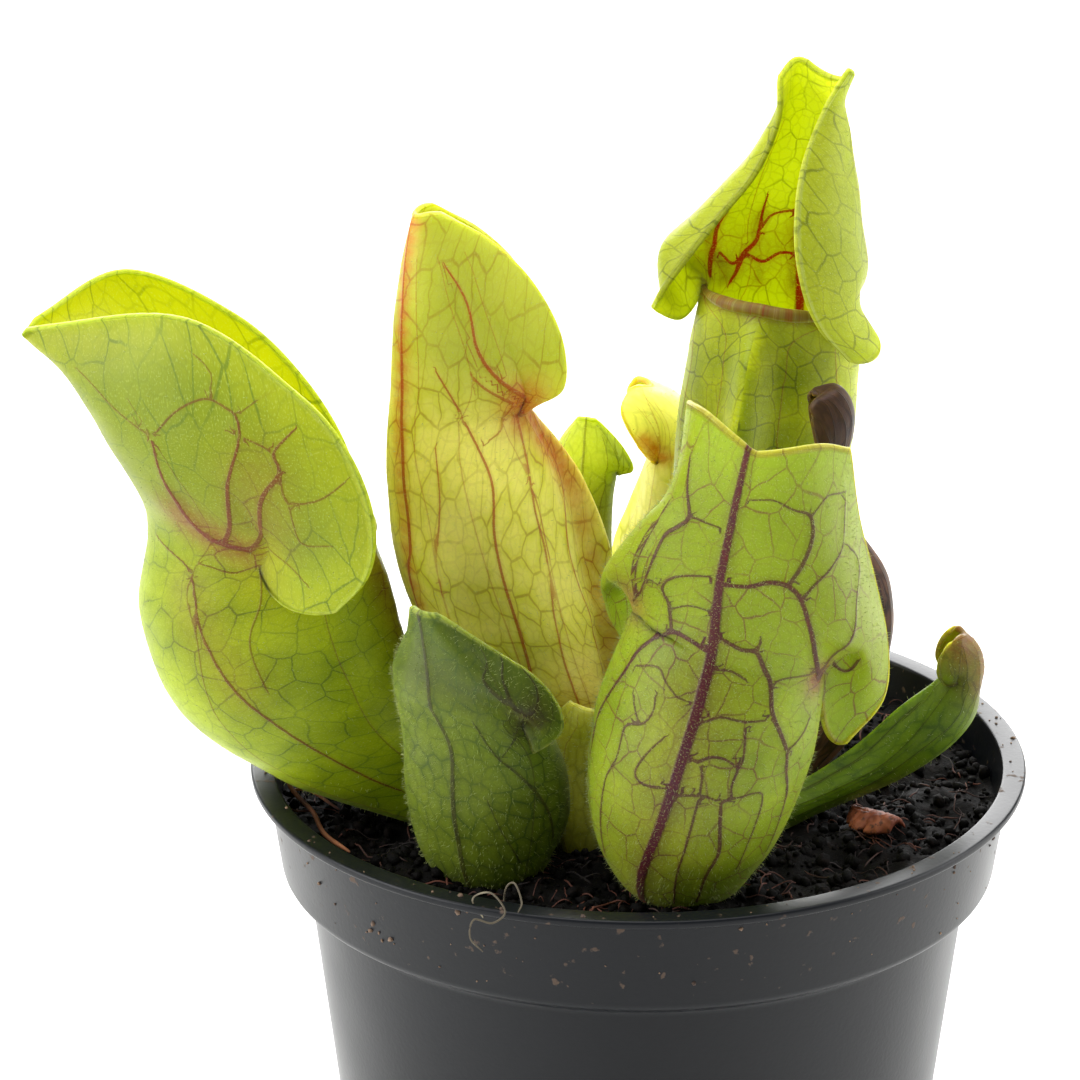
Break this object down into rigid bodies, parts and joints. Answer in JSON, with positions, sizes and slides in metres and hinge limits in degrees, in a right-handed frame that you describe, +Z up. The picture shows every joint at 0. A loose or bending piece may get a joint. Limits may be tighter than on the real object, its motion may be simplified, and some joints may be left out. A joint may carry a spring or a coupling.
{
  "type": "potted purple pitcher plant",
  "caption": "Potted carnivorous plant: hooded pitcher leaves that rise from peat in a round flanged nursery pot.",
  "frame": {"origin": "centre of the pot's base, on the surface that the pot stands on", "axes": "+Z up along the pot's axis, -Y towards the front from which the plant is mostly seen, +X to the right"},
  "size_m": [0.1151, 0.09, 0.1585],
  "materials": {
    "pot": "moulded dark slate grey polypropylene, satin, with specks of peat",
    "peat": "damp dark brown peat, crumbly, with reddish fibres",
    "rhizome": "brown scaly rhizome with thin roots, under the peat",
    "leaf_green": "fresh yellow-green leaf with a fine green net and red main veins",
    "leaf_yellow": "pale yellow leaf with orange-red veins and margins",
    "leaf_veined": "green leaf with a dark purple midrib and net, downy with white hairs",
    "leaf_olive": "darker olive green leaf, downy",
    "leaf_dead": "dry brown dead leaf"
  },
  "bodies": {
    "root": {"pot": "pot", "peat": "peat", "rhizome": "rhizome", "pitcher_left": "leaf_green", "pitcher_back": "leaf_yellow", "pitcher_tall": "leaf_green", "pitcher_front": "leaf_veined", "pitcher_small": "leaf_olive", "pitcher_hooded": "leaf_green", "pitcher_pale": "leaf_yellow", "pitcher_bud": "leaf_yellow", "pitcher_right": "leaf_olive", "pitcher_dead": "leaf_dead", "leaf_flake": "leaf_dead"}
  },
  "joints": []
}
